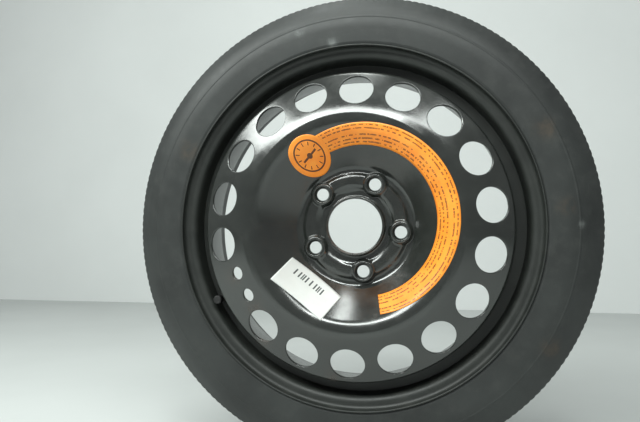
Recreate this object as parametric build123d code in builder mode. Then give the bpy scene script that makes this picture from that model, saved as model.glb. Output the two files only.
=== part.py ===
"""Temporary spare wheel: pressed steel disc welded into a drop-centre rim, with tyre, valve and two stuck-on films.

The origin is the centre of the mounting face. +Y points to the car, the visible side faces -Y and +Z is up.
Sizes are in millimetres, and angles run anticlockwise as seen from the visible side.
"""

import os
from math import acos, cos, pi, radians, sin, tan

from build123d import *

os.makedirs("parts", exist_ok=True)

# Rim, by the tyre side of its contour; a bend is given by its radius and by the flats that draw it
bead_seat_radius = 202.8
rim_width = 101.6
wheel_offset = 41.0
rim_sheet = 2.2
flange_height = 14.1
flange_reach = 11.2
flange_bend = (7.5, 2)
heel_bend = (6.0, 1)
seat_taper = 5.0
seat_width = 22.0
rear_seat_width = 20.0
well_depth = 17.2
well_width = 18.0
well_bend = (3.0, 1)
sharp_bend = (0.0, 0)

# Disc, by its visible side
disc_sheet = 3.2
bore_radius = 32.55
bore_collar = 10.5
pad_ring_inner = 46.0
pad_ring_outer = 62.5
pad_ring_rise = 3.5
pad_ring_slope = 4.0
bowl_radius = 70.5
bowl_slope = 45.0
bowl_bend = (8.0, 1)
crest_depth = 47.1
crest_inner_bend = (22.0, 2)
crest_outer_bend = (10.0, 1)
vent_slope = 26.5
vent_depth = 33.0
skirt_bend = (7.0, 1)
skirt_overlap = 13.0
clock_angle = 208.0

# Bolt seats and vent holes
bolt_circle = 110.0
bolt_count = 5
bolt_hole_radius = 7.3
bolt_seat_radius = 9.8
bolt_seat_angle = 30.0
boss_radius = 14.8
boss_rise = 2.4
boss_draft = 35.0
vent_pitch = 20.0
vent_radius = 20.1
vent_edge = 24.4
small_vent_radius = 7.7
small_vent_spread = 5.6

# Welds between skirt and well
weld_count = 6
weld_arc = 30.0
weld_leg = 2.8

# Tyre
section_height = 80.7
section_overhang = 9.9
wall_height = 51.0
wall_bend = (60.0, 2)
tread_inset = 9.3
crown_drop = 2.9
shoulder_bend = (9.0, 1)
tread_gauge = 11.0
sidewall_gauge = 6.0
bead_width = 15.0
bead_height = 14.0
cushion_width = 9.0
cushion_rise = 1.8
groove_count = 3
groove_pitch = 21.0
groove_width = 5.0
groove_depth = 4.0

# Snap-in valve, with lengths counted outwards from the visible face of the well's wall
valve_clearance = 0.2
valve_lip = 0.7
valve_base_height = 5.0
valve_collar_height = 3.4
valve_cone_height = 5.4
rubber_tip_radius = 4.7
rubber_length = 16.0
stem_length = 26.0
stem_radius = 2.9
stem_foot_radius = 4.2
stem_foot_height = 1.6
thread_radius = 3.85
thread_length = 9.6
stem_air_radius = 1.7
core_chamber_radius = 2.2
core_thread_radius = 2.65

# Valve core
core_recess = 0.4
core_clearance = 0.05
plug_length = 4.6
plug_hole_radius = 0.9
plug_slot_width = 1.4
plug_slot_depth = 2.0
barrel_radius = 1.75
barrel_length = 7.6
barrel_bore_radius = 1.3
barrel_floor = 1.2
floor_clearance = 0.35
core_seal_length = 2.4
core_seal_start = 1.4
pin_radius = 0.5
pin_collar_radius = 1.1
pin_collar_height = 0.6
pin_collar_start = 0.6
pin_head = 0.3
cup_radius = 1.6
cup_height = 1.9
cup_wall = 0.25
cup_seal_height = 1.0
spring_wire = 0.28
spring_turns = 5

# Valve cap
cap_radius = 5.0
cap_clearance = 0.1
cap_gap = 0.6
cap_end = 1.2
cap_bevel = 0.9
cap_seal_height = 1.0
cap_seal_margin = 0.4
cap_flutes = 12
cap_flute_radius = 0.5
cap_flute_end = 2.0

# Films on the bowl of the disc, outlined as seen along the axle
film_thickness = 0.25
film_gap = 0.15
band_outer_centre = (12.4, 7.5)
band_outer_radius = 110.1
band_inner_centre = (8.5, 5.8)
band_inner_radius = 88.9
band_first_angle = -77.0
band_last_angle = 118.0
lobe_centre = (-50.3, 82.5)
lobe_radius = 23.0
label_centre = (-54.8, -73.1)
label_length = 75.6
label_height = 31.2
label_angle = -37.9
label_corner = 1.5


# Places that follow from the sizes above
front_flange = wheel_offset - rim_width / 2
rear_flange = wheel_offset + rim_width / 2
taper = tan(radians(seat_taper))
flange_top = bead_seat_radius + flange_height
well_radius = bead_seat_radius - well_depth
skirt_radius = well_radius - rim_sheet
wall_rear = front_flange + seat_width
wall_front = wall_rear - rim_sheet
skirt_end = wall_front + skirt_overlap

seat_inside = bead_seat_radius - seat_width * taper - rim_sheet
valve_circle = (well_radius + seat_inside) / 2
valve_base_radius = (seat_inside - well_radius) / 2 - valve_clearance
valve_hole_radius = valve_base_radius - valve_lip
valve_x = valve_circle * cos(radians(clock_angle))
valve_z = valve_circle * sin(radians(clock_angle))

vent_circle = skirt_radius - vent_edge
bowl_fall = tan(radians(bowl_slope))
vent_fall = tan(radians(vent_slope))


def bowl_line(radius):
    """Y of the bowl's straight wall on the visible side."""
    return -disc_sheet - (radius - bowl_radius) * bowl_fall


def vent_line(radius):
    """Y of the sloping vent zone on the visible side."""
    return -vent_depth + (radius - vent_circle) * vent_fall


crest_inner = (bowl_radius + (crest_depth - disc_sheet) / bowl_fall, -crest_depth)
crest_outer = (vent_circle + (vent_depth - crest_depth) / vent_fall, -crest_depth)


def bent(corners, bends):
    """Points of a contour through corners, each inner one drawn as flats that touch the arc of its bend."""
    path = [Vector(*corners[0])]
    for before, corner, after, (radius, flats) in zip(corners, corners[1:], corners[2:], bends):
        middle = Vector(*corner)
        back = (Vector(*before) - middle).normalized()
        ahead = (Vector(*after) - middle).normalized()
        opening = acos(back.dot(ahead))
        turn = pi - opening
        centre = middle + (back + ahead).normalized() * (radius / sin(opening / 2))
        first = middle + back * (radius / tan(opening / 2)) - centre
        last = middle + ahead * (radius / tan(opening / 2)) - centre
        step = turn / (flats + 1)
        for flat in range(flats + 1):
            at = (flat + 0.5) * step
            reach = (first * sin(turn - at) + last * sin(at)) * (1 / sin(turn) / cos(step / 2))
            path.append(centre + reach)
    path.append(Vector(*corners[-1]))
    return path


def beside(path, distance):
    """Path moved to the left of its run by a distance, with its corners mitred."""
    sides = [(after - before).normalized().rotate(Axis.Z, 90) for before, after in zip(path, path[1:])]
    pairs = zip(sides[:1] + sides, sides + sides[-1:])
    return [point + (one + two) * (distance / (1 + one.dot(two))) for point, (one, two) in zip(path, pairs)]


def turned_plane(angle):
    """Half-plane through the wheel's axis at an angle: X is the radius and Y stays Y."""
    a = radians(angle)
    return Plane(origin=(0, 0, 0), x_dir=(cos(a), 0, sin(a)), z_dir=(-sin(a), 0, cos(a)))


def vent_plane(angle, radius):
    """Plane on the sloping vent zone, facing outwards along its normal."""
    a, s = radians(angle), radians(vent_slope)
    return Plane(
        origin=(radius * cos(a), vent_line(radius), radius * sin(a)),
        x_dir=(-sin(a), 0, cos(a)),
        z_dir=(sin(s) * cos(a), -cos(s), sin(s) * sin(a)),
    )


def out(length):
    """Y at a length outwards from the visible face of the well's wall."""
    return wall_front - length


valve_section = Plane(origin=(valve_x, 0, valve_z), x_dir=(1, 0, 0), z_dir=(0, 0, 1))
valve_axis = Axis((valve_x, 0, valve_z), (0, 1, 0))


def valve_plane(length):
    """Plane across the valve at a length outwards from the well's wall, facing outwards."""
    return Plane(origin=(valve_x, out(length), valve_z), x_dir=(1, 0, 0), z_dir=(0, -1, 0))


# Rim: one strip of steel rolled to the drop-centre contour, with a hole for the valve in the well's wall
rim_contour = bent(
    [
        (flange_top, front_flange - flange_reach),
        (flange_top, front_flange),
        (bead_seat_radius, front_flange),
        (bead_seat_radius - seat_width * taper, wall_rear),
        (well_radius, wall_rear),
        (well_radius, wall_rear + well_width),
        (bead_seat_radius - rear_seat_width * taper, rear_flange - rear_seat_width),
        (bead_seat_radius, rear_flange),
        (flange_top, rear_flange),
        (flange_top, rear_flange + flange_reach),
    ],
    [flange_bend, heel_bend, well_bend, sharp_bend, sharp_bend, sharp_bend, heel_bend, flange_bend],
)
with BuildPart() as rim:
    with BuildSketch(Plane.XY):
        with BuildLine():
            Polyline(*rim_contour, *reversed(beside(rim_contour, rim_sheet)), close=True)
        make_face()
    revolve(axis=Axis.Y)
    with BuildSketch(valve_plane(valve_collar_height)):
        Circle(valve_hole_radius)
    extrude(amount=-(valve_collar_height + seat_width), mode=Mode.SUBTRACT)
rim.part.label = "rim"
export_step(rim.part, "parts/rim.step")

# Disc: one pressed sheet from the bore's collar over pad ring, bowl and crest to the skirt inside the rim
ring_front = disc_sheet + pad_ring_rise
disc_contour = bent(
    [
        (bore_radius + disc_sheet, -bore_collar),
        (bore_radius + disc_sheet, -disc_sheet),
        (pad_ring_inner - pad_ring_slope / 2, -disc_sheet),
        (pad_ring_inner + pad_ring_slope / 2, -ring_front),
        (pad_ring_outer - pad_ring_slope / 2, -ring_front),
        (pad_ring_outer + pad_ring_slope / 2, -disc_sheet),
        (bowl_radius, -disc_sheet),
        crest_inner,
        crest_outer,
        (skirt_radius, vent_line(skirt_radius)),
        (skirt_radius, skirt_end),
    ],
    [
        *(sharp_bend, sharp_bend, sharp_bend, sharp_bend, sharp_bend),
        *(bowl_bend, crest_inner_bend, crest_outer_bend, skirt_bend),
    ],
)
with BuildPart() as disc:
    with BuildSketch(Plane.XY):
        with BuildLine():
            Polyline(*disc_contour, *reversed(beside(disc_contour, disc_sheet)), close=True)
        make_face()
    revolve(axis=Axis.Y)

    # Raised bolt seats: bosses coined on the pad ring, each with a conical seat round its hole
    with BuildSketch(Plane.XZ.offset(disc_sheet)):
        with PolarLocations(bolt_circle / 2, bolt_count, start_angle=clock_angle):
            Circle(boss_radius)
    extrude(amount=pad_ring_rise + boss_rise, taper=boss_draft)
    with BuildSketch(Plane.XZ):
        with PolarLocations(bolt_circle / 2, bolt_count, start_angle=clock_angle):
            Circle(bolt_hole_radius)
    extrude(amount=ring_front + boss_rise, mode=Mode.SUBTRACT)
    seat_depth = (bolt_seat_radius - bolt_hole_radius) / tan(radians(bolt_seat_angle))
    with BuildSketch(Plane.XZ.offset(ring_front + boss_rise - seat_depth)):
        with PolarLocations(bolt_circle / 2, bolt_count, start_angle=clock_angle):
            Circle(bolt_hole_radius)
    extrude(amount=seat_depth, taper=-bolt_seat_angle, mode=Mode.SUBTRACT)

    # Vent holes square to the sloping zone; two small ones stand in for the hole at the valve
    for step in range(1, round(360 / vent_pitch)):
        with BuildSketch(vent_plane(clock_angle + step * vent_pitch, vent_circle)):
            Circle(vent_radius)
        extrude(amount=2 * disc_sheet, both=True, mode=Mode.SUBTRACT)
    small_vent_circle = vent_circle - (vent_radius - small_vent_radius) * cos(radians(vent_slope))
    for spread in (-small_vent_spread, small_vent_spread):
        with BuildSketch(vent_plane(clock_angle + spread, small_vent_circle)):
            Circle(small_vent_radius)
        extrude(amount=2 * disc_sheet, both=True, mode=Mode.SUBTRACT)
disc.part.label = "disc"
export_step(disc.part, "parts/disc.step")

# Weld seams: fillet welds in the corner behind the skirt's edge, laid as separate runs
with BuildPart() as weld_seams:
    for run in range(weld_count):
        with BuildSketch(turned_plane(clock_angle + (run + 0.5) * 360 / weld_count)):
            with BuildLine():
                Polyline(
                    (skirt_radius, skirt_end),
                    (skirt_radius, skirt_end + weld_leg),
                    (skirt_radius - weld_leg, skirt_end),
                    close=True,
                )
            make_face()
        revolve(axis=Axis.Y, revolution_arc=weld_arc)
weld_seams.part.label = "weld_seams"
export_step(weld_seams.part, "parts/weld_seams.step")

# Tyre: one hollow moulding, drawn as its outboard half and mirrored about the centre plane
tyre_radius = bead_seat_radius + section_height
tread_edge = front_flange + tread_inset
section_edge = front_flange - section_overhang
wall_middle = bead_seat_radius + wall_height
bead_inside = front_flange + bead_width
half_section = bent(
    [
        (tyre_radius - tread_gauge, wheel_offset),
        (tyre_radius - tread_gauge - crown_drop, tread_edge + tread_gauge),
        (wall_middle, section_edge + sidewall_gauge),
        (bead_seat_radius + bead_height, bead_inside - sidewall_gauge),
        (bead_seat_radius - bead_width * taper, bead_inside),
        (bead_seat_radius, front_flange),
        (flange_top, front_flange),
        (flange_top, front_flange - cushion_width),
        (flange_top + cushion_rise, front_flange - cushion_width),
        (wall_middle, section_edge),
        (tyre_radius - crown_drop, tread_edge),
        (tyre_radius, wheel_offset),
    ],
    [
        *(sharp_bend, sharp_bend, sharp_bend, sharp_bend),
        *(heel_bend, flange_bend, sharp_bend, sharp_bend),
        *(wall_bend, shoulder_bend),
    ],
)
with BuildPart() as tyre:
    with BuildSketch(Plane.XY):
        with BuildLine():
            Polyline(*half_section)
            mirror(about=Plane.XZ.offset(-wheel_offset))
        make_face()
    revolve(axis=Axis.Y)
    with BuildSketch(Plane.XY):
        with Locations((tyre_radius, wheel_offset)):
            with GridLocations(0, groove_pitch, 1, groove_count):
                Rectangle(2 * groove_depth, groove_width)
    revolve(axis=Axis.Y, mode=Mode.SUBTRACT)
tyre.part.label = "tyre"
export_step(tyre.part, "parts/tyre.step")

# Valve body: rubber snapped into the valve hole, with a base inside and a collar outside, bonded to the stem
base_rear = wall_rear + valve_base_height
with BuildPart() as valve_body:
    with BuildSketch(valve_section):
        with BuildLine():
            Polyline(
                (stem_radius, out(rubber_length)),
                (rubber_tip_radius, out(rubber_length)),
                (rubber_tip_radius, out(valve_collar_height + valve_cone_height)),
                (valve_base_radius, out(valve_collar_height)),
                (valve_base_radius, out(valve_lip)),
                (valve_hole_radius, out(0)),
                (valve_hole_radius, wall_rear),
                (valve_base_radius, wall_rear),
                (valve_base_radius, base_rear),
                (stem_foot_radius, base_rear),
                (stem_foot_radius, base_rear - stem_foot_height),
                (stem_radius, base_rear - stem_foot_height),
                close=True,
            )
        make_face()
    revolve(axis=valve_axis)
valve_body.part.label = "valve_body"
export_step(valve_body.part, "parts/valve_body.step")

# Valve stem: turned brass, with a foot in the rubber, the cap thread outside and a stepped bore for the core
seal_seat_top = stem_length - core_recess - plug_length - core_seal_start
seal_seat_foot = seal_seat_top - core_seal_length
with BuildPart() as valve_stem:
    with BuildSketch(valve_section):
        with BuildLine():
            Polyline(
                (stem_air_radius, base_rear),
                (stem_foot_radius, base_rear),
                (stem_foot_radius, base_rear - stem_foot_height),
                (stem_radius, base_rear - stem_foot_height),
                (stem_radius, out(stem_length - thread_length)),
                (thread_radius, out(stem_length - thread_length)),
                (thread_radius, out(stem_length)),
                (core_thread_radius, out(stem_length)),
                (core_thread_radius, out(seal_seat_top)),
                (core_chamber_radius, out(seal_seat_foot)),
                (core_chamber_radius, out(valve_collar_height)),
                (stem_air_radius, out(0)),
                close=True,
            )
        make_face()
    revolve(axis=valve_axis)
valve_stem.part.label = "valve_stem"
export_step(valve_stem.part, "parts/valve_stem.step")

# Core plug: the threaded head of the valve core, slotted for a key and open round the pin
plug_top = stem_length - core_recess
plug_foot = plug_top - plug_length
plug_radius = core_thread_radius - core_clearance
with BuildPart() as core_plug:
    with BuildSketch(valve_plane(plug_foot)):
        Circle(plug_radius)
        Circle(plug_hole_radius, mode=Mode.SUBTRACT)
    extrude(amount=plug_length)
    with BuildSketch(valve_plane(plug_top - plug_slot_depth)):
        with Locations((plug_radius, 0), (-plug_radius, 0)):
            Rectangle(plug_slot_width, 2 * plug_radius)
    extrude(amount=plug_slot_depth, mode=Mode.SUBTRACT)
core_plug.part.label = "core_plug"
export_step(core_plug.part, "parts/core_plug.step")

# Core barrel: the tube under the plug, with a floor that carries the spring and the valve's seat below it
barrel_foot = plug_foot - barrel_length
with BuildPart() as core_barrel:
    with BuildSketch(valve_plane(barrel_foot)):
        Circle(barrel_radius)
        Circle(pin_radius + floor_clearance, mode=Mode.SUBTRACT)
    extrude(amount=barrel_length)
    with BuildSketch(valve_plane(barrel_foot + barrel_floor)):
        Circle(barrel_bore_radius)
    extrude(amount=barrel_length, mode=Mode.SUBTRACT)
core_barrel.part.label = "core_barrel"
export_step(core_barrel.part, "parts/core_barrel.step")

# Core barrel seal: the tapered ring that seals the barrel in the stem
with BuildPart() as core_barrel_seal:
    with BuildSketch(valve_section):
        with BuildLine():
            Polyline(
                (barrel_radius, out(seal_seat_top)),
                (core_thread_radius - core_clearance, out(seal_seat_top)),
                (core_chamber_radius - core_clearance, out(seal_seat_foot)),
                (barrel_radius, out(seal_seat_foot)),
                close=True,
            )
        make_face()
    revolve(axis=valve_axis)
core_barrel_seal.part.label = "core_barrel_seal"
export_step(core_barrel_seal.part, "parts/core_barrel_seal.step")

# Core pin: headed wire through plug, barrel and cup, with a collar that the spring pushes outwards
pin_collar_top = plug_foot - pin_collar_start
pin_collar_foot = pin_collar_top - pin_collar_height
cup_foot = barrel_foot - cup_height
with BuildPart() as core_pin:
    with BuildSketch(valve_section):
        with BuildLine():
            Polyline(
                (0, out(cup_foot - pin_head)),
                (pin_radius + pin_head, out(cup_foot - pin_head)),
                (pin_radius + pin_head, out(cup_foot)),
                (pin_radius, out(cup_foot)),
                (pin_radius, out(pin_collar_foot)),
                (pin_collar_radius, out(pin_collar_foot)),
                (pin_collar_radius, out(pin_collar_top)),
                (pin_radius, out(pin_collar_top)),
                (pin_radius, out(plug_top)),
                (0, out(plug_top)),
                close=True,
            )
        make_face()
    revolve(axis=valve_axis)
core_pin.part.label = "core_pin"
export_step(core_pin.part, "parts/core_pin.step")

# Core cup: the small dish riveted to the pin's foot, which carries the seal
with BuildPart() as core_cup:
    with BuildSketch(valve_plane(cup_foot)):
        Circle(cup_radius)
        Circle(pin_radius, mode=Mode.SUBTRACT)
    extrude(amount=cup_height - cup_wall)
    with BuildSketch(valve_plane(barrel_foot - cup_seal_height)):
        Circle(cup_radius - cup_wall)
    extrude(amount=cup_seal_height, mode=Mode.SUBTRACT)
core_cup.part.label = "core_cup"
export_step(core_cup.part, "parts/core_cup.step")

# Core cup seal: the rubber washer in the cup, which closes on the barrel's foot
with BuildPart() as core_cup_seal:
    with BuildSketch(valve_plane(barrel_foot - cup_seal_height)):
        Circle(cup_radius - cup_wall)
        Circle(pin_radius, mode=Mode.SUBTRACT)
    extrude(amount=cup_seal_height)
core_cup_seal.part.label = "core_cup_seal"
export_step(core_cup_seal.part, "parts/core_cup_seal.step")

# Core spring: coiled round the pin between the barrel's floor and the pin's collar
spring_foot = barrel_foot + barrel_floor + spring_wire / 2
spring_height = pin_collar_foot - spring_wire / 2 - spring_foot
spring_radius = (pin_radius + barrel_bore_radius) / 2
with BuildPart() as core_spring:
    with BuildLine() as coil:
        Helix(
            pitch=spring_height / spring_turns,
            height=spring_height,
            radius=spring_radius,
            center=(valve_x, out(spring_foot), valve_z),
            direction=(0, -1, 0),
        )
    with BuildSketch(Plane(origin=coil.line @ 0, x_dir=(0, 1, 0), z_dir=coil.line % 0)):
        Rectangle(spring_wire, spring_wire)
    sweep(path=coil.line, is_frenet=True)
core_spring.part.label = "core_spring"
export_step(core_spring.part, "parts/core_spring.step")

# Valve cap: moulded plastic thimble over the stem's thread, fluted for the fingers
cap_foot = stem_length - thread_length + cap_gap
cap_bore = thread_radius + cap_clearance
cap_roof = stem_length + cap_seal_height
cap_top = cap_roof + cap_end
with BuildPart() as valve_cap:
    with BuildSketch(valve_section):
        with BuildLine():
            Polyline(
                (0, out(cap_roof)),
                (cap_bore, out(cap_roof)),
                (cap_bore, out(cap_foot)),
                (cap_radius, out(cap_foot)),
                (cap_radius, out(cap_top - cap_bevel)),
                (cap_radius - cap_bevel, out(cap_top)),
                (0, out(cap_top)),
                close=True,
            )
        make_face()
    revolve(axis=valve_axis)
    with BuildSketch(valve_plane(cap_foot)):
        with PolarLocations(cap_radius, cap_flutes):
            Circle(cap_flute_radius)
    extrude(amount=cap_top - cap_flute_end - cap_foot, mode=Mode.SUBTRACT)
valve_cap.part.label = "valve_cap"
export_step(valve_cap.part, "parts/valve_cap.step")

# Cap seal: the rubber washer in the cap's roof, which closes on the stem's tip
with BuildPart() as cap_seal:
    with BuildSketch(valve_plane(stem_length)):
        Circle(thread_radius - cap_seal_margin)
    extrude(amount=cap_seal_height)
cap_seal.part.label = "cap_seal"
export_step(cap_seal.part, "parts/cap_seal.step")


def film_section():
    """Section of a film that follows the bowl's wall and the crest, just clear of the paint."""
    foot = bowl_radius + bowl_bend[0]
    along = bent(
        [(foot, bowl_line(foot)), crest_inner, crest_outer, (vent_circle, vent_line(vent_circle))],
        [crest_inner_bend, crest_outer_bend],
    )
    back = beside(along, -film_gap)
    front = beside(along, -film_gap - film_thickness)
    with BuildSketch(Plane.XY) as section:
        with BuildLine():
            Polyline(*back, *reversed(front), close=True)
        make_face()
    return section.sketch


film_reach = crest_depth + disc_sheet

# Orange band: printed film stuck on by hand, a broad arc a little off the wheel's centre with a round end
band_middle = Vector(*band_inner_centre)
far = 3 * band_outer_radius
with BuildPart() as orange_band:
    revolve(film_section(), axis=Axis.Y)
    with BuildSketch(Plane.XZ):
        with Locations(band_outer_centre):
            Circle(band_outer_radius)
        with Locations(band_inner_centre):
            Circle(band_inner_radius, mode=Mode.SUBTRACT)
        with BuildLine():
            Polyline(
                band_middle,
                band_middle + Vector(far, 0).rotate(Axis.Z, band_first_angle),
                band_middle + Vector(far, far),
                band_middle + Vector(far, 0).rotate(Axis.Z, band_last_angle),
                close=True,
            )
        make_face(mode=Mode.INTERSECT)
        with Locations(lobe_centre):
            Circle(lobe_radius)
    extrude(amount=film_reach, mode=Mode.INTERSECT)
orange_band.part.label = "orange_band"
export_step(orange_band.part, "parts/orange_band.step")

# Paper label: a plain white sticker along the bowl's wall
with BuildPart() as paper_label:
    revolve(film_section(), axis=Axis.Y)
    with BuildSketch(Plane.XZ):
        with Locations(Location((*label_centre, 0), (0, 0, label_angle))):
            RectangleRounded(label_length, label_height, label_corner)
    extrude(amount=film_reach, mode=Mode.INTERSECT)
paper_label.part.label = "paper_label"
export_step(paper_label.part, "parts/paper_label.step")
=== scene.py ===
from math import cos, pi, radians, sin, tan

import bmesh
import bpy
import numpy as np
from mathutils import Matrix, Vector


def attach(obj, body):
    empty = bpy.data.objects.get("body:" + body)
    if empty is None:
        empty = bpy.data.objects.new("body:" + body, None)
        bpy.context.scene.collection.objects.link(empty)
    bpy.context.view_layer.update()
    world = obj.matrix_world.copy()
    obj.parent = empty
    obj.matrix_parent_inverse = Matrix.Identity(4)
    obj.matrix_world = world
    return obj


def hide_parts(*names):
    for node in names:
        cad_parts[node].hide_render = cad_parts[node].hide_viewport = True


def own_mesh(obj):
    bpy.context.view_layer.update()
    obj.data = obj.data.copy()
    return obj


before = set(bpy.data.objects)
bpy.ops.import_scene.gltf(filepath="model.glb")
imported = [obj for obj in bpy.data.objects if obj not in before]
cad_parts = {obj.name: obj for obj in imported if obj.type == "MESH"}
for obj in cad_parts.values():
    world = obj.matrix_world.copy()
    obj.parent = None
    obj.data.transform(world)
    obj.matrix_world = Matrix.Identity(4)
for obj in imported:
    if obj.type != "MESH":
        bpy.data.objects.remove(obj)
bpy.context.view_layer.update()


# Rim: one strip of steel rolled to the drop-centre contour and butt-welded into a hoop.
# It carries the tyre's beads on its two seats, and is dipped in the same black paint as the disc.
mm = 0.001
edge_steps = 6
bend_step = 0.35
rim_sheet, rim_divisions = 2.2, 288
flange_top, bead_seat = 216.9, 202.8
front_flange, rear_flange = -9.8, 91.8
flange_reach = 11.2 - rim_sheet / 2
seat_foot, rear_seat_foot, rear_seat_width = 200.9, 201.05, 20
well_radius, wall_rear, well_end = 185.6, 12.2, 30.2
rim_bends = [7.5, 6, 3.4, 2.4, 9, 12, 6, 7.5]
valve_angle = 208
valve_circle, valve_hole_radius = 192.14, 5.64


def rounded(corners, radii):
    """Contour through corners with a true arc at each bend, as points of radius and y."""
    corners = np.array(corners, float)
    path = [corners[0]]
    for before, corner, after, radius in zip(corners, corners[1:], corners[2:], radii):
        back = (before - corner) / np.linalg.norm(before - corner)
        ahead = (after - corner) / np.linalg.norm(after - corner)
        half = np.arccos(back @ ahead) / 2
        centre = corner + (back + ahead) / np.linalg.norm(back + ahead) * radius / np.sin(half)
        first = corner + back * radius / np.tan(half) - centre
        last = corner + ahead * radius / np.tan(half) - centre
        turn = pi - 2 * half
        steps = max(3, int(np.ceil(turn * np.sqrt(radius) / bend_step)))
        for at in np.linspace(0, turn, steps + 1):
            path.append(centre + (first * np.sin(turn - at) + last * np.sin(at)) / np.sin(turn))
    path.append(corners[-1])
    return np.array(path)


def beside(path, distance):
    """Path moved to the left of its run by a distance."""
    runs = np.diff(path, axis=0)
    runs /= np.linalg.norm(runs, axis=1)[:, None]
    sides = np.stack([-runs[:, 1], runs[:, 0]], 1)
    before, after = np.vstack([sides[:1], sides]), np.vstack([sides, sides[-1:]])
    return path + (before + after) * (distance / (1 + (before * after).sum(1)))[:, None]


def sheet_outline(path, thickness):
    """Closed outline of a sheet that follows a path, with half-round edges."""
    other = beside(path, thickness)
    edges = []
    for near, far, inner in ((path[-1], other[-1], path[-2]), (other[0], path[0], other[1])):
        middle = (near + far) / 2
        side = near - middle
        out = (near - inner) / np.linalg.norm(near - inner) * thickness / 2
        turns = np.linspace(0, pi, edge_steps + 2)[1:-1]
        edges.append([middle + side * np.cos(turn) + out * np.sin(turn) for turn in turns])
    return np.vstack([path, edges[0], other[::-1], edges[1]])


def finished(name, points, quads):
    """Smooth mesh object from points in millimetres, doubled points joined, faces turned outwards."""
    mesh = bpy.data.meshes.new(name)
    mesh.from_pydata((np.asarray(points) * mm).tolist(), [], quads)
    shape = bmesh.new()
    shape.from_mesh(mesh)
    bmesh.ops.remove_doubles(shape, verts=shape.verts, dist=2e-6)
    bmesh.ops.recalc_face_normals(shape, faces=shape.faces)
    shape.to_mesh(mesh)
    shape.free()
    mesh.polygons.foreach_set("use_smooth", [True] * len(mesh.polygons))
    piece = bpy.data.objects.new(name, mesh)
    bpy.context.collection.objects.link(piece)
    return piece


def around(radius, y, divisions):
    """Ring of points about the axle."""
    turns = np.arange(divisions) * 2 * pi / divisions
    return np.stack([radius * np.cos(turns), np.full(divisions, y), radius * np.sin(turns)], 1)


def joined_rings(rings, first=0, closed_round=True, closed_along=False):
    """Quads between neighbouring rings of equal length, whose points are numbered from first."""
    count, size = len(rings), len(rings[0])
    quads = []
    for row in range(count if closed_along else count - 1):
        near, far = first + row * size, first + (row + 1) % count * size
        for at in range(size if closed_round else size - 1):
            after = (at + 1) % size
            quads.append((near + at, near + after, far + after, far + at))
    return quads


def turned(name, outline, divisions):
    """Ring-shaped piece from the closed outline of its section."""
    rings = [around(radius, y, divisions) for radius, y in outline]
    return finished(name, np.vstack(rings), joined_rings(rings, closed_along=True))


def drilled(piece, place, radius, length):
    """Round hole along the axle's direction, cut through a piece at a place in millimetres."""
    mesh = bpy.data.meshes.new("drill")
    shape = bmesh.new()
    sizes = {"radius1": radius * mm, "radius2": radius * mm, "depth": length * mm}
    bmesh.ops.create_cone(shape, cap_ends=True, segments=64, **sizes)
    bmesh.ops.rotate(shape, verts=shape.verts, matrix=Matrix.Rotation(pi / 2, 3, "X"))
    bmesh.ops.translate(shape, verts=shape.verts, vec=Vector(place) * mm)
    shape.to_mesh(mesh)
    shape.free()
    drill = bpy.data.objects.new("drill", mesh)
    bpy.context.collection.objects.link(drill)
    cut = piece.modifiers.new("hole", "BOOLEAN")
    cut.operation = "DIFFERENCE"
    cut.solver = "EXACT"
    cut.object = drill
    cut_piece = piece.evaluated_get(bpy.context.evaluated_depsgraph_get())
    piece.data = bpy.data.meshes.new_from_object(cut_piece)
    piece.modifiers.clear()
    piece.data.set_sharp_from_angle(angle=radians(40))
    bpy.data.objects.remove(drill)


def nodes_of(name):
    """New material with its node tree, shader, and object coordinates in metres."""
    material = bpy.data.materials.new(name)
    material.use_nodes = True
    tree = material.node_tree
    place = tree.nodes.new("ShaderNodeTexCoord").outputs["Object"]
    return material, tree, tree.nodes["Principled BSDF"], place


def noise(tree, place, scale, detail=4.0, rough=0.55):
    """Noise value at a number of features for each metre."""
    node = tree.nodes.new("ShaderNodeTexNoise")
    node.inputs["Scale"].default_value = scale
    node.inputs["Detail"].default_value = detail
    node.inputs["Roughness"].default_value = rough
    tree.links.new(place, node.inputs["Vector"])
    return node.outputs["Fac"]


def spread(tree, value, low, high, to_low=0.0, to_high=1.0):
    """Value stretched from one range to another and held inside it."""
    node = tree.nodes.new("ShaderNodeMapRange")
    for socket, number in zip(("From Min", "From Max", "To Min", "To Max"), (low, high, to_low, to_high)):
        node.inputs[socket].default_value = number
    tree.links.new(value, node.inputs["Value"])
    return node.outputs["Result"]


def sums(tree, work, one, two=None):
    """Arithmetic on two values, each a socket or a number."""
    node = tree.nodes.new("ShaderNodeMath")
    node.operation = work
    for socket, value in zip(node.inputs, (one, two)):
        if isinstance(value, (int, float)):
            socket.default_value = value
        elif value is not None:
            tree.links.new(value, socket)
    return node.outputs[0]


def tinted(tree, share, under, over):
    """Colour that goes from one to another by a share; each is a socket or three numbers."""
    node = tree.nodes.new("ShaderNodeMix")
    node.data_type = "RGBA"
    tree.links.new(share, node.inputs["Factor"])
    for socket, colour in ((node.inputs["A"], under), (node.inputs["B"], over)):
        if isinstance(colour, tuple):
            socket.default_value = (*colour, 1)
        else:
            tree.links.new(colour, socket)
    return node.outputs["Result"]


def carved(tree, height, depth, shader, strength=1.0):
    """Bump of a depth in metres on a shader."""
    node = tree.nodes.new("ShaderNodeBump")
    node.inputs["Distance"].default_value = depth
    node.inputs["Strength"].default_value = strength
    tree.links.new(height, node.inputs["Height"])
    tree.links.new(node.outputs["Normal"], shader.inputs["Normal"])


def mark_value(tree, name):
    """Value that a piece's mesh carries at its points under a name."""
    node = tree.nodes.new("ShaderNodeAttribute")
    node.attribute_name = name
    return node.outputs["Fac"]


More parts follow.
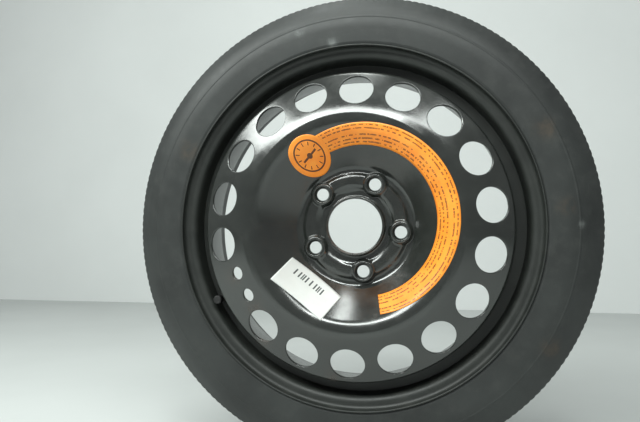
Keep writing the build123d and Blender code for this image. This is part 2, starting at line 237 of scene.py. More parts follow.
def black_dip_paint(name, shiny, dull, mirror):
    """Black dip paint with orange peel, dust, scuffs and, where a piece marks it, rust."""
    material, tree, shader, place = nodes_of(name)
    clouds = noise(tree, place, 14)
    grime = noise(tree, place, 55, 6, 0.7)
    peel = noise(tree, place, 420, 2)
    facing = tree.nodes.new("ShaderNodeNewGeometry").outputs["Normal"]
    split = tree.nodes.new("ShaderNodeSeparateXYZ")
    tree.links.new(facing, split.inputs[0])
    upward = spread(tree, split.outputs["Z"], 0.1, 1.0, 0.0, 1.0)
    black = tinted(tree, spread(tree, clouds, 0.35, 0.7), (0.016, 0.018, 0.016), (0.024, 0.027, 0.024))
    settled = sums(tree, "ADD", upward, 0.25)
    dust_share = sums(tree, "MULTIPLY", spread(tree, grime, 0.48, 0.8, 0.0, 0.16), settled)
    dusty = tinted(tree, dust_share, black, (0.16, 0.155, 0.14))
    rust_share = sums(tree, "MULTIPLY", mark_value(tree, "rust"), spread(tree, grime, 0.36, 0.62))
    tree.links.new(tinted(tree, rust_share, dusty, (0.085, 0.034, 0.014)), shader.inputs["Base Color"])
    gloss = spread(tree, grime, 0.3, 0.75, shiny, dull)
    rough = sums(tree, "ADD", gloss, sums(tree, "MULTIPLY", rust_share, 0.4))
    tree.links.new(rough, shader.inputs["Roughness"])
    shader.inputs["Specular IOR Level"].default_value = mirror
    carved(tree, peel, 0.00006, shader, 0.5)
    return material


rim_paint = black_dip_paint("rim_paint", 0.42, 0.56, 0.5)
rim_path = rounded(
    [
        (flange_top, front_flange - flange_reach),
        (flange_top, front_flange),
        (bead_seat, front_flange),
        (seat_foot, wall_rear),
        (well_radius, wall_rear),
        (well_radius, well_end),
        (rear_seat_foot, rear_flange - rear_seat_width),
        (bead_seat, rear_flange),
        (flange_top, rear_flange),
        (flange_top, rear_flange + flange_reach),
    ],
    rim_bends,
)
rim = turned("rim_hoop", sheet_outline(rim_path, rim_sheet), rim_divisions)
valve_x, valve_z = valve_circle * cos(radians(valve_angle)), valve_circle * sin(radians(valve_angle))
valve_place = (valve_x, wall_rear - rim_sheet / 2, valve_z)
drilled(rim, valve_place, valve_hole_radius, 4 * rim_sheet)
rim.data.materials.append(rim_paint)
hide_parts("rim")
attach(rim, "wheel")


# Disc: one blank of thicker steel, pressed into bore lip, pad ring, bowl, crest and skirt, then pierced.
# The bolt seats are coined up from the pad ring, and the skirt is a press fit inside the rim's well.
disc_sheet, disc_divisions = 3.2, 360
bore_lip, lip_height = 35.75, 10.5
pad_inner, pad_outer, pad_height, pad_slope = 48.0, 60.5, 6.7, 4.0
bowl_foot = 70.5
crest_depth, crest_fall = 47.1, [(129.0, -46.0), (137.5, -43.3)]
crest_inner = bowl_foot + crest_depth - disc_sheet
vent_slope, vent_circle, vent_radius = radians(26.5), 159.0, 20.1
vent_depth, vent_dome, vent_step = 33.0, 0.4, 20
small_vent_radius, small_vent_spread = 7.7, 5.6
skirt_radius, skirt_end = 183.4, 23.0
bolt_circle, bolt_step = 55.0, 72
boss_rise, boss_foot, boss_top = 2.4, 15.6, 11.4
seat_top, bolt_hole_radius, seat_depth, bolt_hole_end = 9.8, 7.3, 4.33, -3.6
edge_round = 0.9
disc_bends = [2.0, 3.0, 4.4, 4.4, 3.0, 7.6, 22.0, 8.0, 60.0, 400.0, 7.0]
disc_front = rounded(
    [
        (bore_lip, -lip_height + disc_sheet / 2),
        (bore_lip, -disc_sheet),
        (pad_inner - pad_slope, -disc_sheet),
        (pad_inner, -pad_height),
        (pad_outer, -pad_height),
        (pad_outer + pad_slope, -disc_sheet),
        (bowl_foot, -disc_sheet),
        (crest_inner, -crest_depth),
        *crest_fall,
        (vent_circle, -vent_depth - vent_dome),
        (skirt_radius, -vent_depth + (skirt_radius - vent_circle) * tan(vent_slope)),
        (skirt_radius, skirt_end - disc_sheet / 2),
    ],
    disc_bends,
)
disc_back = beside(disc_front, disc_sheet)
hub_zone, vent_zone, zone_gap = (39.0, 71.5), (133.0, 179.9), 0.05


def on_sheet(path, radius):
    """Y of one face of the disc at a radius."""
    return np.interp(radius, path[:, 0], path[:, 1])


def zone(path, low, high):
    """Points of one face of the disc between two radii, ends included."""
    inside = path[(path[:, 0] > low + zone_gap) & (path[:, 0] < high - zone_gap)]
    ends = [(radius, on_sheet(path, radius)) for radius in (low, high)]
    return np.vstack([ends[:1], inside, ends[1:]])


def window(low, high, turns, along):
    """Edge of a patch between two radii and over whole degrees, as radii and angles, once round."""
    radii = np.linspace(low, high, along + 1)
    degrees = np.array(turns, float)
    return np.vstack(
        [
            np.stack([radii[:-1], np.full(along, degrees[0])], 1),
            np.stack([np.full(len(degrees) - 1, high), degrees[:-1]], 1),
            np.stack([radii[:0:-1], np.full(along, degrees[-1])], 1),
            np.stack([np.full(len(degrees) - 1, low), degrees[:0:-1]], 1),
        ]
    )


def seen_along_axle(edge, angle):
    """Edge points in a flat frame turned to an angle: across, and outwards from the axle."""
    turn = np.radians(edge[:, 1] - angle)
    return np.stack([edge[:, 0] * np.sin(turn), edge[:, 0] * np.cos(turn)], 1)


def placed(flat, y, angle):
    """Points in the flat frame of an angle, put in the wheel's own frame."""
    a = radians(angle)
    x = flat[:, 1] * cos(a) - flat[:, 0] * sin(a)
    z = flat[:, 1] * sin(a) + flat[:, 0] * cos(a)
    return np.stack([x, y, z], 1)


def pierced_patch(edge, angle, hole_at, hole_radius, slope):
    """Rings from the edge of a patch, over its visible face, through a rounded hole, to its rear face."""
    outer = seen_along_axle(edge, angle)
    lean = cos(slope)
    bearing = np.arctan2((outer[:, 1] - hole_at) / lean, outer[:, 0])

    def loop(radius, depth=0.0):
        across = radius * np.cos(bearing)
        outwards = hole_at + radius * lean * np.sin(bearing) - depth * sin(slope)
        return np.stack([across, outwards], 1)

    shares = (0, 0.3, 0.55, 0.75, 0.88, 0.96, 1)
    rings = []
    for share in shares:
        flat = outer * (1 - share) + loop(hole_radius + edge_round) * share
        rings.append(placed(flat, on_sheet(disc_front, np.hypot(*flat.T)), angle))
    bends = np.radians((22, 45, 68, 90))
    steps = [(edge_round * (1 - np.sin(b)), edge_round * (1 - np.cos(b))) for b in bends]
    steps += [(grow, disc_sheet - deep) for grow, deep in steps[::-1]]
    for grow, deep in steps:
        face = loop(hole_radius + grow)
        y = on_sheet(disc_front, np.hypot(*face.T)) + deep * cos(slope)
        rings.append(placed(loop(hole_radius + grow, deep), y, angle))
    for share in shares[::-1]:
        flat = outer * (1 - share) + loop(hole_radius + edge_round, disc_sheet) * share
        rings.append(placed(flat, on_sheet(disc_back, np.hypot(*flat.T)), angle))
    return rings


def bolt_patch(edge, angle):
    """Rings from the edge of a patch, up the boss, down the conical seat and through to the rear face."""
    outer = seen_along_axle(edge, angle)
    bearing = np.arctan2(outer[:, 1] - bolt_circle, outer[:, 0])

    def loop(radius):
        return np.stack([radius * np.cos(bearing), bolt_circle + radius * np.sin(bearing)], 1)

    top = -pad_height - boss_rise
    rings = []
    for share in (0, 0.05, 0.1, 0.15, 0.2, 0.26, 0.33, 0.41, 0.5, 0.6, 0.7, 0.8, 0.9, 1):
        flat = outer * (1 - share) + loop(boss_foot) * share
        rings.append(placed(flat, on_sheet(disc_front, np.hypot(*flat.T)), angle))
    for share in np.linspace(0, 1, 9)[1:]:
        flat = loop(boss_foot + (boss_top - boss_foot) * share)
        rise = share * share * (3 - 2 * share)
        face = on_sheet(disc_front, np.hypot(*flat.T))
        rings.append(placed(flat, face * (1 - rise) + top * rise, angle))
    cone = rounded(
        [
            (boss_top, top),
            (seat_top, top),
            (bolt_hole_radius, top + seat_depth),
            (bolt_hole_radius, bolt_hole_end),
        ],
        [1.2, 0.5],
    )
    for radius, y in cone[1:]:
        rings.append(placed(loop(radius), np.full(len(bearing), y), angle))
    for share in (1, 0.7, 0.4, 0):
        flat = outer * (1 - share) + loop(bolt_hole_radius + 0.4) * share
        rings.append(placed(flat, on_sheet(disc_back, np.hypot(*flat.T)), angle))
    return rings


disc_points, disc_quads = [], []


def add_to_disc(rings, closed_along=False):
    """Rings put into the disc's mesh."""
    first = sum(len(ring) for ring in disc_points)
    disc_quads.extend(joined_rings(rings, first, closed_along=closed_along))
    disc_points.extend(rings)


outline = sheet_outline(disc_front, disc_sheet)
lip = [
    [(hub_zone[0], on_sheet(disc_back, hub_zone[0]))],
    disc_back[disc_back[:, 0] < hub_zone[0] - zone_gap][::-1],
    outline[-edge_steps:],
    disc_front[disc_front[:, 0] < hub_zone[0] - zone_gap],
    [(hub_zone[0], on_sheet(disc_front, hub_zone[0]))],
]
bowl = [zone(face, hub_zone[1], vent_zone[0]) for face in (disc_front, disc_back)]
skirt = [
    [(vent_zone[1], on_sheet(disc_front, vent_zone[1]))],
    disc_front[disc_front[:, 0] > vent_zone[1] + zone_gap],
    outline[len(disc_front):len(disc_front) + edge_steps],
    disc_back[disc_back[:, 0] > vent_zone[1] + zone_gap][::-1],
    [(vent_zone[1], on_sheet(disc_back, vent_zone[1]))],
]
for section in (np.vstack(lip), *bowl, np.vstack(skirt)):
    add_to_disc([around(radius, y, disc_divisions) for radius, y in section])
for step in range(1, 360 // vent_step):
    angle = valve_angle + vent_step * step
    edge = window(*vent_zone, range(angle - vent_step // 2, angle + vent_step // 2 + 1), 14)
    add_to_disc(pierced_patch(edge, angle, vent_circle, vent_radius, vent_slope))
for side in (-1, 1):
    angle = valve_angle + side * small_vent_spread
    near, far = sorted((valve_angle, valve_angle + side * vent_step // 2))
    edge = window(*vent_zone, range(near, far + 1), 14)
    lower = vent_circle - (vent_radius - small_vent_radius) * cos(vent_slope)
    add_to_disc(pierced_patch(edge, angle, lower, small_vent_radius, vent_slope))
for step in range(360 // bolt_step):
    angle = valve_angle + bolt_step * step
    edge = window(*hub_zone, range(angle - bolt_step // 2, angle + bolt_step // 2 + 1), 10)
    add_to_disc(bolt_patch(edge, angle))
disc = finished("pressed_disc", np.vstack(disc_points), disc_quads)


def points_of(piece):
    """Mesh points of a piece in millimetres."""
    points = np.empty(len(piece.data.vertices) * 3)
    piece.data.vertices.foreach_get("co", points)
    return points.reshape(-1, 3) / mm


def soft_spots(points, spots):
    """Sum at each point of soft round spots, given by x, z and size as seen along the axle."""
    total = np.zeros(len(points))
    for x, z, size in spots:
        total += np.exp(-((points[:, 0] - x) ** 2 + (points[:, 2] - z) ** 2) / size**2)
    return total


def marked(piece, name, values):
    """Value at each mesh point of a piece, for its material to read."""
    mark = piece.data.attributes.new(name, "FLOAT", "POINT")
    mark.data.foreach_set("value", values)


bore_edge, rust_width, rust_angle, rust_reach = 33.2, 1.2, -130, 60
places = points_of(disc)
reach, bearing = np.hypot(places[:, 0], places[:, 2]), np.degrees(np.arctan2(places[:, 2], places[:, 0]))
from_rust = np.abs((bearing - rust_angle + 180) % 360 - 180)
bore_rust = 0.9 * np.exp(-(((reach - bore_edge) / rust_width) ** 2))
bore_rust *= np.clip(1.1 - from_rust / rust_reach, 0, 1)
rust_spots = []
for spot_angle, spot_radius, size in ((203, 153, 9), (219, 150, 10), (231, 172, 9), (262, 176, 7)):
    turn = radians(spot_angle)
    rust_spots.append((spot_radius * cos(turn), spot_radius * sin(turn), size))
marked(disc, "rust", np.clip(bore_rust + 0.3 * soft_spots(places, rust_spots), 0, 1))
disc.data.materials.append(black_dip_paint("disc_paint", 0.14, 0.26, 1.0))
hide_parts("disc")
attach(disc, "wheel")


# Weld seams: short arc-weld beads in the corner behind the skirt's edge, where disc and rim meet.
# Each bead is laid in small overlapping ripples, and is painted over with the wheel.
weld_leg, weld_count, weld_arc = 2.6, 6, 30
weld_steps, weld_ripples, weld_gap = 180, 34, 0.02
weld_points, weld_quads = [], []
for run in range(weld_count):
    start = valve_angle + (run + 0.5) * 360 / weld_count - weld_arc
    rings = []
    for share in np.linspace(0, 1, weld_steps + 1):
        a = radians(start + weld_arc * share)
        ripple = 0.86 + 0.1 * abs(sin(share * weld_ripples * pi))
        leg = ripple * min(1, 0.25 + 9 * min(share, 1 - share)) * weld_leg
        loop = [(0, 0)]
        loop += [(leg * sin(t), leg * cos(t)) for t in np.linspace(0, pi / 2, 7)]
        inward, up = np.array(loop).T
        radii = skirt_radius - weld_gap - inward
        rings.append(np.stack([radii * cos(a), skirt_end + weld_gap + up, radii * sin(a)], 1))
    first = sum(len(ring) for ring in weld_points)
    weld_quads += joined_rings(rings, first)
    size = len(rings[0])
    for end in (first, first + weld_steps * size):
        weld_quads.append(tuple(range(end, end + size)))
    weld_points += rings
welds = finished("weld_beads", np.vstack(weld_points), weld_quads)
welds.data.materials.append(rim_paint)
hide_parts("weld_seams")
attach(welds, "wheel")


# Tyre: one narrow moulding of rubber over steel belts and bead wires, snapped over the rim's flanges.
# Its tread has plain grooves, its shoulder fine moulded slots, and its side wall one raised ring.
tyre_radius, tyre_middle = 283.3, 41.0
groove_width, groove_depth, groove_pitch = 5.0, 4.0, 21.0
slot_count, steps_a_slot, slot_depth = 200, 3, 0.6
slot_zone, slot_from = (33.0, 47.0), 272
sipe_depth, sipe_zone = 0.8, (3.2, 17.8)
crown_drop, rib_edge = 1.6, 2.5
ring_at, ring_height = 251.3, 0.3
bead_gap, lip_radius, wall_step = 0.15, 219, 6.0
wall = rounded(
    [
        (201.66, 5.2),
        (202.95, front_flange + bead_gap),
        (flange_top + bead_gap, front_flange + bead_gap),
        (flange_top + bead_gap, front_flange - 8.6),
        (220.5, -19.3),
        (254.5, -19.75),
        (279.6, -1.6),
        (tyre_radius - 2.6, 3.0),
    ],
    [5.85, 7.65, 0.8, 3.0, 52.0, 6.0],
)
fine = []
for one, two in zip(wall, wall[1:]):
    pieces_here = max(1, int(np.linalg.norm(two - one) / wall_step))
    fine += [one + (two - one) * share for share in np.linspace(0, 1, pieces_here, endpoint=False)]
wall = np.vstack([fine, wall[-1:]])
ridge = []
for off in (-2.2, -1.1, -0.6, 0.6, 1.1, 2.4):
    ridge.append((ring_at + off, np.interp(ring_at + off, wall[:, 0], wall[:, 1])))
wall = np.vstack([wall[np.abs(wall[:, 0] - ring_at) > 2.6], ridge])
near_bead, outside = wall[wall[:, 0] < lip_radius], wall[wall[:, 0] >= lip_radius]
outside = outside[np.argsort(outside[:, 0], kind="stable")]
wall = np.vstack([near_bead, outside])
wall[:, 1] -= ring_height * (np.abs(wall[:, 0] - ring_at) < 0.8)
shoulder = [(tyre_radius - 2.2, 6.0), (tyre_radius - 1.9, 9.0)]
tread = list(shoulder)
for rib in (-1, 0, 1):
    middle = tyre_middle + rib * groove_pitch
    low, high = middle - groove_width / 2, middle + groove_width / 2
    top = tyre_radius - crown_drop * abs(rib)
    tread += [(top, low - 0.6), (top - 0.3, low), (top - groove_depth, low + 0.7)]
    tread += [(top - groove_depth, high - 0.7), (top - 0.3, high), (top, high + 0.6)]
tread += [(radius, 2 * tyre_middle - y) for radius, y in shoulder[::-1]]
mirrored = wall[::-1] * (1, -1) + (0, 2 * tyre_middle)
inside = [(216.0, 83.0), (254.0, 95.6), (269.0, 73.0), (272.0, 41.0)]
inside += [(radius, 2 * tyre_middle - y) for radius, y in inside[2::-1]]
outline = np.vstack([wall, tread, mirrored, inside])
tyre_rings = []
divisions = slot_count * steps_a_slot
turns = np.arange(divisions) * 2 * pi / divisions
slot_here = (np.arange(divisions) % steps_a_slot == 0).astype(float)
for radius, y in outline:
    off = abs(y - tyre_middle)
    slotted = slot_zone[0] < off < slot_zone[1] and radius > slot_from
    on_rib = radius > tyre_radius - rib_edge and off < slot_zone[0]
    siped = on_rib and sipe_zone[0] < off % groove_pitch < sipe_zone[1]
    r = radius - (slot_depth * slotted + sipe_depth * siped) * slot_here
    tyre_rings.append(np.stack([r * np.cos(turns), np.full(divisions, y), r * np.sin(turns)], 1))
tyre = finished("tyre_moulding", np.vstack(tyre_rings), joined_rings(tyre_rings, closed_along=True))

stains = ((216, 108, 9), (218, -136, 8), (-208, 96, 10), (237, 20, 7))
scuffs = ((-25, 220, 4), (-66, 236, 4), (252, 1, 3))
for mark_name, spots in (("stain", stains), ("chalk", scuffs)):
    marked(tyre, mark_name, np.clip(soft_spots(points_of(tyre), spots), 0, 0.5))


def tyre_rubber():
    """Matt black rubber, greyed by dust and bloom, with brown stains and pale scuffs where marked."""
    material, tree, shader, place = nodes_of("tyre_rubber")
    bloom = noise(tree, place, 9, 5, 0.6)
    grain = noise(tree, place, 700, 3)
    grime = noise(tree, place, 60, 6, 0.7)
    rubber = tinted(tree, spread(tree, bloom, 0.35, 0.68), (0.017, 0.019, 0.0182), (0.032, 0.0355, 0.0338))
    dusty = tinted(tree, spread(tree, grime, 0.5, 0.85, 0.0, 0.16), rubber, (0.13, 0.13, 0.12))
    for mark_name, colour in (("stain", (0.085, 0.052, 0.026)), ("chalk", (0.30, 0.32, 0.31))):
        patchy = spread(tree, grime, 0.38, 0.66, 0.0, 0.8)
        share = sums(tree, "MULTIPLY", mark_value(tree, mark_name), patchy)
        dusty = tinted(tree, share, dusty, colour)
    tree.links.new(dusty, shader.inputs["Base Color"])
    tree.links.new(spread(tree, grime, 0.3, 0.8, 0.46, 0.64), shader.inputs["Roughness"])
    shader.inputs["Specular IOR Level"].default_value = 0.5
    carved(tree, grain, 0.00012, shader, 0.5)
    return material


tyre.data.materials.append(tyre_rubber())
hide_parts("tyre")
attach(tyre, "wheel")


# Valve: a rubber snap-in body pulled through the hole in the well's wall, bonded to a brass stem.
# A screwed brass core with a sprung pin and small rubber seals closes the stem.
def valve_rubber():
    """Soft black valve rubber with moulding grain."""
    material, tree, shader, place = nodes_of("valve_rubber")
    grime = noise(tree, place, 260, 5)
    tree.links.new(
        tinted(tree, spread(tree, grime, 0.35, 0.75), (0.016, 0.016, 0.016), (0.042, 0.041, 0.038)),
        shader.inputs["Base Color"],
    )
    tree.links.new(spread(tree, grime, 0.3, 0.7, 0.45, 0.65), shader.inputs["Roughness"])
    carved(tree, noise(tree, place, 2600, 2), 0.00004, shader, 0.5)
    return material


def turned_brass():
    """Turned brass with fine tool rings round the valve and a little tarnish."""
    material, tree, shader, place = nodes_of("turned_brass")
    tarnish = noise(tree, place, 480, 5)
    rings = tree.nodes.new("ShaderNodeTexWave")
    rings.bands_direction = "Y"
    rings.inputs["Scale"].default_value = 630
    tree.links.new(place, rings.inputs["Vector"])
    tree.links.new(
        tinted(tree, spread(tree, tarnish, 0.4, 0.72), (0.78, 0.56, 0.24), (0.42, 0.27, 0.10)),
        shader.inputs["Base Color"],
    )
    shader.inputs["Metallic"].default_value = 1.0
    tree.links.new(spread(tree, tarnish, 0.3, 0.7, 0.22, 0.42), shader.inputs["Roughness"])
    carved(tree, rings.outputs["Fac"], 0.00005, shader, 0.6)
    return material


def drawn_wire():
    """Drawn steel wire with faint lengthwise marks."""
    material, tree, shader, place = nodes_of("drawn_wire")
    marks = noise(tree, place, 1500, 4)
    tree.links.new(
        tinted(tree, marks, (0.50, 0.50, 0.49), (0.66, 0.66, 0.65)),
        shader.inputs["Base Color"],
    )
    shader.inputs["Metallic"].default_value = 1.0
    tree.links.new(spread(tree, marks, 0.3, 0.7, 0.25, 0.45), shader.inputs["Roughness"])
    return material


def dressed(name, material):
    """Material on a piece that is carried over from the CAD."""
    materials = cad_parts[name].data.materials
    materials.clear()
    materials.append(material)


rubber, brass = valve_rubber(), turned_brass()
for name in ("valve_body", "core_barrel_seal", "core_cup_seal", "cap_seal"):
    dressed(name, rubber)
for name in ("valve_stem", "core_plug", "core_barrel", "core_pin", "core_cup"):
    dressed(name, brass)
dressed("core_spring", drawn_wire())
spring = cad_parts["core_spring"]
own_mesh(spring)


# Valve cap: a small moulded thimble with finger flutes, screwed on the stem over a rubber washer.
# It is plain black plastic, dulled by dust from the road.
def cap_plastic():
    """Dull black moulded plastic with a fine spark-eroded grain."""
    material, tree, shader, place = nodes_of("cap_plastic")
    dust = noise(tree, place, 420, 5)
    tree.links.new(
        tinted(tree, spread(tree, dust, 0.45, 0.8), (0.012, 0.012, 0.012), (0.032, 0.031, 0.029)),
        shader.inputs["Base Color"],
    )
    tree.links.new(spread(tree, dust, 0.3, 0.7, 0.4, 0.6), shader.inputs["Roughness"])
    carved(tree, noise(tree, place, 3800, 2), 0.00003, shader, 0.5)
    return material


dressed("valve_cap", cap_plastic())


# Orange band: a printed self-adhesive film, stuck by hand along the bowl a little off the wheel's centre.
# It is a broad arc with a round end; rows of short dark dashes and a plain gauge stand for its print.
film_lift, film_thickness, lobe_step = 0.3, 0.22, 0.03
outer_middle, outer_radius = np.array([12.4, 7.5]), 110.1
inner_middle, inner_radius = np.array([8.5, 5.8]), 88.9
first_angle, last_angle = -77.0, 124.0
lobe_middle, lobe_radius, lobe_divisions = np.array([-50.3, 82.5]), 23.0, 96


def on_bowl(flat, lift):
    """Points seen along the axle, laid on the disc's visible face at a lift along its normal."""
    radius = np.hypot(*flat.T)
    slope = on_sheet(disc_front, radius + 0.5) - on_sheet(disc_front, radius - 0.5)
    steep = np.hypot(1, slope)
    outward = slope / steep * lift
    return np.stack(
        [
            flat[:, 0] * (1 + outward / radius),
            on_sheet(disc_front, radius) - lift / steep,
            flat[:, 1] * (1 + outward / radius),
        ],
        1,
    )


def film_strip(rows, lift):
    """Thin film with two faces and a rim from rows of points seen along the axle."""
    top = [on_bowl(row, lift + film_thickness) for row in rows]
    under = [on_bowl(row, lift) for row in rows]
    size = len(rows[0])
    count = len(rows)
    quads = joined_rings(top, 0, closed_round=False)
    quads += joined_rings(under, count * size, closed_round=False)
    border = list(range(size))
    border += [row * size + size - 1 for row in range(1, count)]
    border += [(count - 1) * size + at for at in range(size - 2, -1, -1)]
    border += [row * size for row in range(count - 2, 0, -1)]
    for here, after in zip(border, border[1:] + border[:1]):
        quads.append((here, after, after + count * size, here + count * size))
    return np.vstack(top + under), quads


def edge_of_circle(angle, middle, radius):
    """Distance from the band's inner centre to a circle along an angle."""
    way = np.array([cos(angle), sin(angle)])
    gap = inner_middle - middle
    along = gap @ way
    return -along + np.sqrt(along**2 - gap @ gap + radius**2)


band_rows = []
for share in np.linspace(0, 1, 13):
    row = []
    for degrees in np.linspace(first_angle, last_angle, 241):
        a = radians(degrees)
        low = edge_of_circle(a, inner_middle, inner_radius)
        high = edge_of_circle(a, outer_middle, outer_radius)
        reach = low + (high - low) * share
        row.append(inner_middle + reach * np.array([cos(a), sin(a)]))
    band_rows.append(np.array(row))
band_points, band_quads = film_strip(band_rows, film_lift)
lobe_rows = []
turns = np.arange(lobe_divisions) * 2 * pi / lobe_divisions
for radius in (0.4, 4, 8, 12, 16, 19, 21.5, lobe_radius):
    lobe_rows.append(lobe_middle + radius * np.stack([np.cos(turns), np.sin(turns)], 1))
lobe_rings = [on_bowl(row, film_lift + lobe_step) for row in lobe_rows]
lobe_rings += [on_bowl(row, film_lift + lobe_step + film_thickness) for row in lobe_rows[::-1]]
first = len(band_points)
lobe_points = np.vstack(lobe_rings)
lobe_quads = joined_rings(lobe_rings, first)
for end in (first, first + len(lobe_points) - lobe_divisions):
    lobe_quads.append(tuple(range(end, end + lobe_divisions)))
band = finished("orange_film", np.vstack([band_points, lobe_points]), band_quads + lobe_quads)

places = points_of(band)[:, [0, 2]]
from_inner = places - inner_middle
bearing = np.arctan2(from_inner[:, 1], from_inner[:, 0])
low = np.array([edge_of_circle(a, inner_middle, inner_radius) for a in bearing])
high = np.array([edge_of_circle(a, outer_middle, outer_radius) for a in bearing])
across = (np.hypot(*from_inner.T) - low) / (high - low)
in_lobe = np.hypot(*(places - lobe_middle).T) < lobe_radius + 0.05
marked(band, "along", np.degrees(bearing) * 1.75)
marked(band, "across", np.where(in_lobe, -1.0, across))
marked(band, "gauge_x", (places - lobe_middle)[:, 0])
marked(band, "gauge_z", (places - lobe_middle)[:, 1])


def within(tree, value, middle, half):
    """One where a value is less than a half width from its middle, else nought."""
    return sums(tree, "LESS_THAN", sums(tree, "ABSOLUTE", sums(tree, "SUBTRACT", value, middle)), half)


def glowing_orange_print():
    """Fluorescent orange film, a little uneven in its ink, with rows of dark dashes and a plain gauge; its
    colour also glows faintly as painted light.
    """
    material, tree, shader, place = nodes_of("glowing_orange_print")
    along, across = mark_value(tree, "along"), mark_value(tree, "across")
    gauge_x, gauge_z = mark_value(tree, "gauge_x"), mark_value(tree, "gauge_z")
    ink = noise(tree, place, 60, 5)
    specks = noise(tree, place, 900, 3)
    orange = tinted(tree, spread(tree, ink, 0.35, 0.7), (0.95, 0.275, 0.024), (0.99, 0.34, 0.04))
    dashes = None
    for row, seed in ((0.88, 3.3), (0.72, 11.4), (0.44, 23.6), (0.27, 29.3), (0.12, 37.7)):
        on_row = within(tree, across, row, 0.034)
        join = tree.nodes.new("ShaderNodeCombineXYZ")
        tree.links.new(sums(tree, "MULTIPLY", along, 0.31), join.inputs[0])
        join.inputs[1].default_value = seed
        broken = sums(tree, "GREATER_THAN", noise(tree, join.outputs[0], 1.0, 1.5), 0.47)
        here = sums(tree, "MULTIPLY", on_row, broken)
        dashes = here if dashes is None else sums(tree, "MAXIMUM", dashes, here)
    flat = sums(tree, "MULTIPLY", gauge_x, gauge_x)
    flat = sums(tree, "ADD", flat, sums(tree, "MULTIPLY", gauge_z, gauge_z))
    far = sums(tree, "POWER", flat, 0.5)
    ring = within(tree, far, 16.6, 0.9)
    turn = sums(tree, "ARCTAN2", gauge_z, gauge_x)
    ticks = sums(tree, "GREATER_THAN", sums(tree, "COSINE", sums(tree, "MULTIPLY", turn, 12.0)), 0.86)
    ticks = sums(tree, "MULTIPLY", ticks, within(tree, far, 12.9, 2.0))
    rise = sums(tree, "MULTIPLY", gauge_z, 0.69)
    slant = sums(tree, "SUBTRACT", sums(tree, "MULTIPLY", gauge_x, 0.72), rise)
    needle = within(tree, slant, 0.0, 1.1)
    needle = sums(tree, "MULTIPLY", needle, sums(tree, "LESS_THAN", far, 10.6))
    hub = sums(tree, "LESS_THAN", far, 3.1)
    gauge = sums(tree, "MAXIMUM", sums(tree, "MAXIMUM", ring, ticks), sums(tree, "MAXIMUM", needle, hub))
    gauge = sums(tree, "MULTIPLY", gauge, sums(tree, "LESS_THAN", across, -0.5))
    worn = spread(tree, specks, 0.3, 0.6, 0.25, 0.9)
    dashes = sums(tree, "MULTIPLY", dashes, worn)
    print_share = sums(tree, "MAXIMUM", dashes, sums(tree, "MULTIPLY", gauge, 0.93))
    printed = tinted(tree, print_share, orange, (0.05, 0.022, 0.012))
    tree.links.new(printed, shader.inputs["Base Color"])
    # Painted light: the printed colour also feeds the emission, so the film glows faintly in its own
    # colour even where the lamps leave it in shade.
    tree.links.new(printed, shader.inputs["Emission Color"])
    shader.inputs["Emission Strength"].default_value = 0.18
    tree.links.new(spread(tree, specks, 0.3, 0.7, 0.30, 0.42), shader.inputs["Roughness"])
    carved(tree, ink, 0.0002, shader, 0.25)
    return material


band.data.materials.append(glowing_orange_print())
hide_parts("orange_band")
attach(band, "wheel")


# Paper label: a plain white self-adhesive paper sticker on the bowl, set askew.
# A short row of plain dark bars near its inner edge stands for its print.
label_middle, label_turn = np.array([-54.8, -73.1]), radians(-37.9)
label_length, label_height, label_lift = 75.6, 31.2, 0.2
label_long = np.array([cos(label_turn), sin(label_turn)])
label_high = np.array([-sin(label_turn), cos(label_turn)])
label_rows = []
for up in np.linspace(-0.5, 0.5, 17):
    along_label = np.linspace(-0.5, 0.5, 49)[:, None] * label_length
    label_rows.append(label_middle + label_long * along_label + label_high * label_height * up)
label_points, label_quads = film_strip(label_rows, label_lift)
label = finished("paper_sticker", label_points, label_quads)
places = points_of(label)[:, [0, 2]] - label_middle
marked(label, "label_x", places @ label_long)
marked(label, "label_z", places @ label_high)


def white_paper():
    """White matt paper with faint fibres, a little handled, and a row of plain dark bars."""
    material, tree, shader, place = nodes_of("white_paper")
    fibre = noise(tree, place, 1400, 5)
    smudge = noise(tree, place, 70, 5)
    label_x, label_z = mark_value(tree, "label_x"), mark_value(tree, "label_z")
    on_row = within(tree, label_z, 6.0, 3.2)
    on_row = sums(tree, "MULTIPLY", on_row, within(tree, label_x, -4.0, 22.0))
    waves = [sums(tree, "COSINE", sums(tree, "MULTIPLY", label_x, rate)) for rate in (1.1, 1.9)]
    bars = sums(tree, "GREATER_THAN", sums(tree, "ADD", *waves), 0.2)
    bars = sums(tree, "MULTIPLY", sums(tree, "MULTIPLY", bars, on_row), 0.93)
    paper = tinted(tree, spread(tree, smudge, 0.4, 0.8, 0.0, 0.5), (0.72, 0.73, 0.71), (0.65, 0.66, 0.63))
    tree.links.new(tinted(tree, bars, paper, (0.045, 0.05, 0.055)), shader.inputs["Base Color"])
    tree.links.new(spread(tree, fibre, 0.3, 0.7, 0.72, 0.86), shader.inputs["Roughness"])
    shader.inputs["Specular IOR Level"].default_value = 0.25
    carved(tree, fibre, 0.00003, shader, 0.4)
    return material


label.data.materials.append(white_paper())
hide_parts("paper_label")
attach(label, "wheel")


# Studio: a plain pale floor that the tyre stands on, a plain pale wall well behind, and large soft lamps.
# The lamps hang above and in front, so that the crest and the bowl carry their long soft highlights.
floor_level = -0.2836
wall_y = 1.65
wide, wall_top = 6.0, 4.0


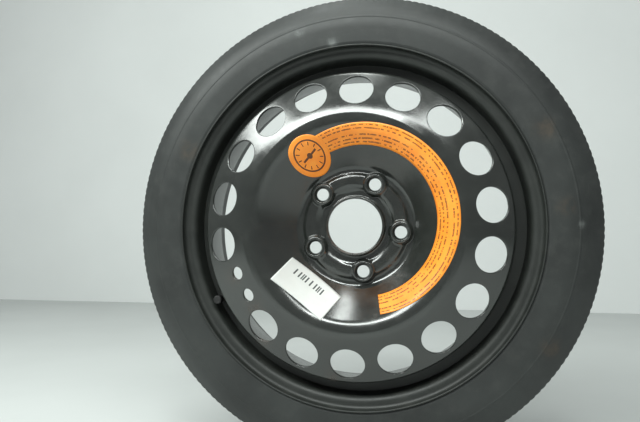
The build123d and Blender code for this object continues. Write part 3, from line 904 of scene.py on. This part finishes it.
def stage_sheet(name, corners, colour_low, colour_high):
    """Flat stage piece with a slightly mottled pale finish."""
    mesh = bpy.data.meshes.new(name)
    mesh.from_pydata(corners, [], [(0, 1, 2, 3)])
    piece = bpy.data.objects.new(name, mesh)
    bpy.context.collection.objects.link(piece)
    material, tree, shader, place = nodes_of(name)
    colour = tinted(tree, spread(tree, noise(tree, place, 2.2), 0.3, 0.7), colour_low, colour_high)
    tree.links.new(colour, shader.inputs["Base Color"])
    shader.inputs["Roughness"].default_value = 0.9
    shader.inputs["Specular IOR Level"].default_value = 0.1
    mesh.materials.append(material)


floor_back = [(wide, wall_y, floor_level), (-wide, wall_y, floor_level)]
stage_sheet(
    "floor",
    [(-wide, -wide, floor_level), (wide, -wide, floor_level), *floor_back],
    (0.56, 0.58, 0.57),
    (0.60, 0.62, 0.61),
)
stage_sheet(
    "wall",
    [*floor_back, (-wide, wall_y, wall_top), (wide, wall_y, wall_top)],
    (0.78, 0.80, 0.79),
    (0.82, 0.84, 0.83),
)


def soft_lamp(name, place, aim, width, height, power):
    """Large soft lamp at a place, turned to a point."""
    lamp = bpy.data.lights.new(name, "AREA")
    lamp.shape = "RECTANGLE"
    lamp.size, lamp.size_y, lamp.energy = width, height, power
    lamp.color = (0.94, 1.0, 0.965)
    holder = bpy.data.objects.new(name, lamp)
    bpy.context.collection.objects.link(holder)
    holder.location = place
    holder.rotation_euler = (Vector(aim) - Vector(place)).to_track_quat("-Z", "Y").to_euler()


soft_lamp("lamp_left", (-1.19, -0.97, 1.30), (0, 0, 0), 1.25, 0.52, 28)
soft_lamp("lamp_middle", (-0.24, -1.33, 1.47), (0, 0, 0), 1.35, 0.34, 23)
soft_lamp("lamp_right", (0.56, -1.20, 1.50), (0, 0, 0), 1.1, 0.24, 9.5)
soft_lamp("lamp_above", (-0.25, -0.12, 1.85), (-0.05, 0, 0), 1.0, 0.28, 10.0)

world = bpy.data.worlds.new("studio")
bpy.context.scene.world = world
world.use_nodes = True
world.node_tree.nodes["Background"].inputs["Color"].default_value = (0.95, 0.98, 1.0, 1)
world.node_tree.nodes["Background"].inputs["Strength"].default_value = 0.25

camera = bpy.data.cameras.new("camera")
camera.sensor_fit = "HORIZONTAL"
camera.sensor_width = 36.0
camera.lens = 33.56
viewer = bpy.data.objects.new("camera", camera)
bpy.context.collection.objects.link(viewer)
viewer.location = (0.10234, -0.71518, -0.01705)
viewer.rotation_euler = (radians(92.80), 0, radians(11.58))
bpy.context.scene.camera = viewer
bpy.context.scene.view_settings.view_transform = "Standard"
